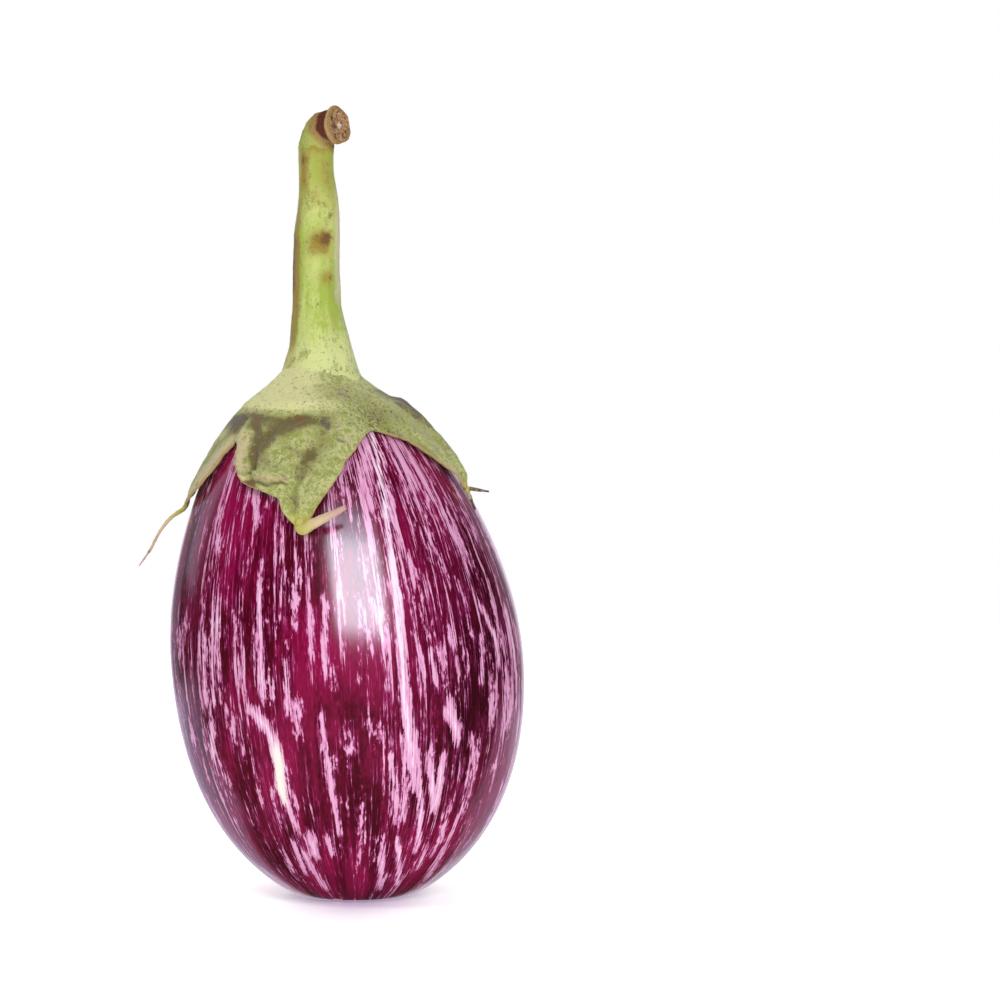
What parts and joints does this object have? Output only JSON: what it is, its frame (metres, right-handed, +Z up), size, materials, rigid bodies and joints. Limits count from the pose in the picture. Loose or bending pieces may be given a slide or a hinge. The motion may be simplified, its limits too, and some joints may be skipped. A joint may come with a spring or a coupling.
{
  "type": "eggplant",
  "caption": "Egg-shaped striped eggplant standing on its blossom end, with a lobed green calyx, dried awns and a cut, bent stalk",
  "frame": {"origin": "the middle of the small flat spot on the blossom end that the fruit stands on", "axes": "+Z up from the blossom end towards the stalk, -Y towards the viewer, +X to the viewer's right"},
  "size_m": [0.0844, 0.0772, 0.1723],
  "materials": {
    "fruit_skin": "taut waxy skin, deep magenta purple with broken white and pink streaks from end to end",
    "calyx_green": "matte, finely felted leaf, yellow-green with olive-brown blotches",
    "stalk_green": "matte light yellow-green stem with fine brown speckles",
    "dry_brown": "dry, fibrous brown where the stem was cut"
  },
  "bodies": {
    "root": {"fruit": "fruit_skin", "calyx": "calyx_green", "stalk": "stalk_green", "stalk_end": "dry_brown"}
  },
  "joints": []
}
